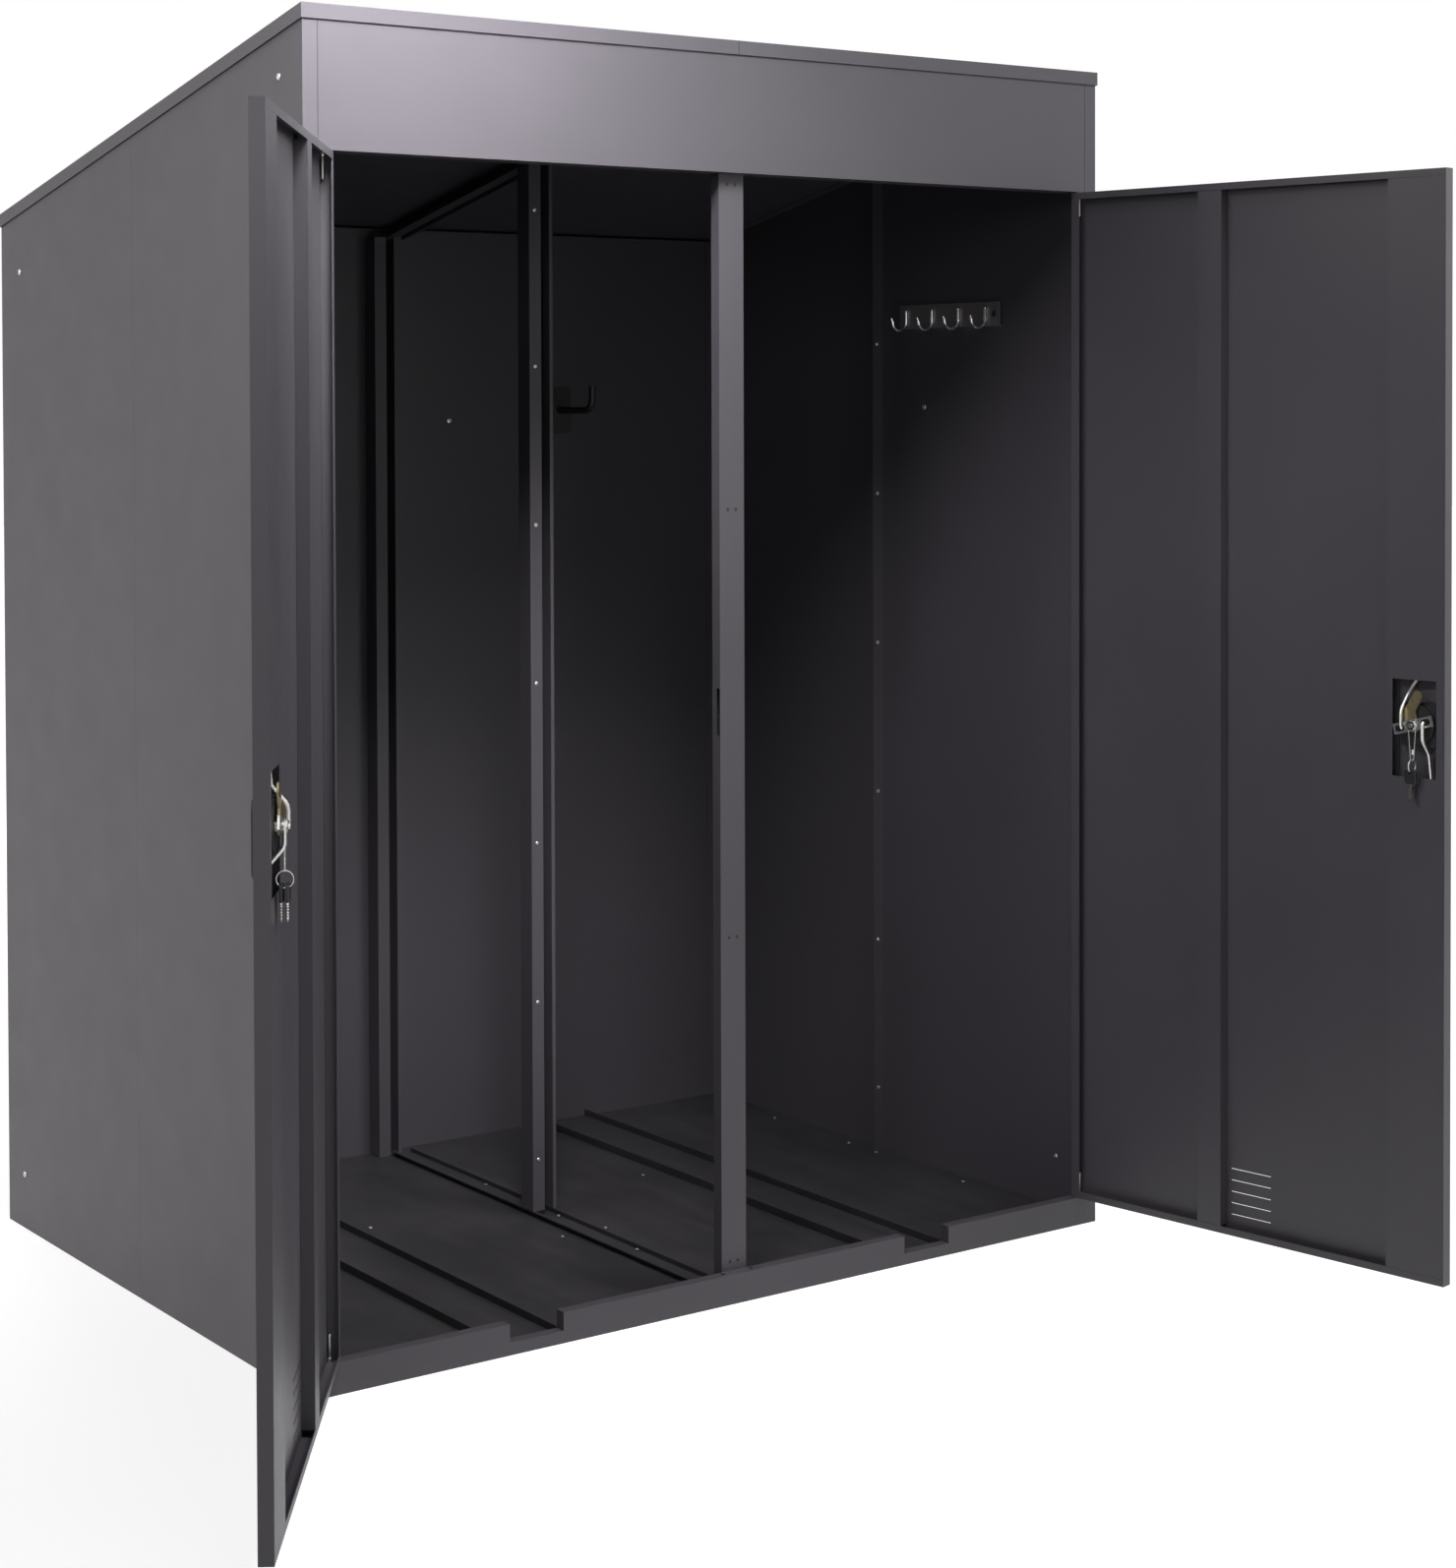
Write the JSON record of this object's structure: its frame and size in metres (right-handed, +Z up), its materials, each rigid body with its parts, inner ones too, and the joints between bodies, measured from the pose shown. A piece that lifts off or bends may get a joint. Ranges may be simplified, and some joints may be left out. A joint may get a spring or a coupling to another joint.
{
  "type": "bicycle locker",
  "caption": "Sheet-steel locker for two bicycles: sloping roof, open divider, hinged doors with lock rods, wheel channels.",
  "frame": {"origin": "centre of the closed body's underside, on the ground", "axes": "+X to the right door, +Y to the rear wall, +Z up"},
  "size_m": [2.0909, 1.9529, 2.1],
  "materials": {
    "powder_coat": "satin dark grey powder coat",
    "chrome_plate": "polished plate",
    "zinc_plate": "bright zinc",
    "yellow_zinc": "yellow passivated zinc",
    "black_plastic": "fine grained",
    "hook_rubber": "smooth sleeve"
  },
  "bodies": {
    "body": {"base_front_rail": "powder_coat", "centre_post": "powder_coat", "coat_hook_rail": "powder_coat", "coat_hook_1": "chrome_plate", "coat_hook_2": "chrome_plate", "coat_hook_3": "chrome_plate", "coat_hook_4": "chrome_plate", "divider_foot_rail": "powder_coat", "divider_mid_upright": "powder_coat", "divider_rafter": "powder_coat", "divider_rear_upright": "powder_coat", "fascia": "powder_coat", "floor_strap": "powder_coat", "floor_plate_left": "powder_coat", "floor_plate_right": "powder_coat", "rear_panel_left": "powder_coat", "rear_panel_right": "powder_coat", "roof_tray_left": "powder_coat", "roof_tray_right": "powder_coat", "side_panel_front_left": "powder_coat", "side_panel_front_right": "powder_coat", "side_panel_rear_left": "powder_coat", "side_panel_rear_right": "powder_coat", "wheel_channel_left": "powder_coat", "wheel_channel_right": "powder_coat", "wheel_hook_left": "hook_rubber", "wheel_hook_right": "hook_rubber"},
    "door_right": {"door_leaf_right": "powder_coat", "door_stiffener_right": "powder_coat", "lock_stiffener_right": "powder_coat", "hinge_pin_upper_right": "zinc_plate", "hinge_pin_lower_right": "zinc_plate", "lock_housing_right": "black_plastic", "key_wire_right": "zinc_plate", "key_ring_right": "zinc_plate", "key_1_right": "black_plastic", "key_2_right": "black_plastic"},
    "lock_right": {"lock_handle_right": "black_plastic", "lock_cylinder_right": "zinc_plate", "lock_tongue_right": "yellow_zinc", "lock_cam_right": "zinc_plate"},
    "rod_upper_right": {"lock_rod_upper_right": "zinc_plate"},
    "rod_lower_right": {"lock_rod_lower_right": "zinc_plate"},
    "door_left": {"door_leaf_left": "powder_coat", "door_stiffener_left": "powder_coat", "lock_stiffener_left": "powder_coat", "hinge_pin_upper_left": "zinc_plate", "hinge_pin_lower_left": "zinc_plate", "lock_housing_left": "black_plastic", "key_wire_left": "zinc_plate", "key_ring_left": "zinc_plate", "key_1_left": "black_plastic", "key_2_left": "black_plastic"},
    "lock_left": {"lock_handle_left": "black_plastic", "lock_cylinder_left": "zinc_plate", "lock_tongue_left": "yellow_zinc", "lock_cam_left": "zinc_plate"},
    "rod_upper_left": {"lock_rod_upper_left": "zinc_plate"},
    "rod_lower_left": {"lock_rod_lower_left": "zinc_plate"}
  },
  "joints": [
    {"name": "door_right_hinge", "type": "hinge", "parent": "body", "child": "door_right", "pos_m": [0.765, -0.595, 0], "axis": [0, 0, 1], "range_deg": [-99.4, 25.6]},
    {"name": "lock_right_turn", "type": "hinge", "parent": "door_right", "child": "lock_right", "pos_m": [0.88568, -1.29337, 0.97], "axis": [-0.9866, -0.1633, 0], "range_deg": [-60, 0]},
    {"name": "rod_upper_right_slide", "type": "slide", "parent": "door_right", "child": "rod_upper_right", "axis": [0, 0, 1], "range_m": [0, 0.02536]},
    {"name": "rod_lower_right_slide", "type": "slide", "parent": "door_right", "child": "rod_lower_right", "axis": [0, 0, -1], "range_m": [0, 0.02536]},
    {"name": "door_left_hinge", "type": "hinge", "parent": "body", "child": "door_left", "pos_m": [-0.765, -0.595, 0], "axis": [0, 0, -1], "range_deg": [-123.9, 1.1]},
    {"name": "lock_left_turn", "type": "hinge", "parent": "door_left", "child": "lock_left", "pos_m": [-1.16442, -1.18044, 0.97], "axis": [-0.83, 0.5577, 0], "range_deg": [-60, 0]},
    {"name": "rod_upper_left_slide", "type": "slide", "parent": "door_left", "child": "rod_upper_left", "axis": [0, 0, 1], "range_m": [0, 0.02536]},
    {"name": "rod_lower_left_slide", "type": "slide", "parent": "door_left", "child": "rod_lower_left", "axis": [0, 0, -1], "range_m": [0, 0.02536]}
  ],
  "couplings": [
    {"joint": "rod_upper_right_slide", "follows": "lock_right_turn", "m_per_rad": -0.024216},
    {"joint": "rod_lower_right_slide", "follows": "lock_right_turn", "m_per_rad": -0.024216},
    {"joint": "rod_upper_left_slide", "follows": "lock_left_turn", "m_per_rad": -0.024216},
    {"joint": "rod_lower_left_slide", "follows": "lock_left_turn", "m_per_rad": -0.024216}
  ]
}
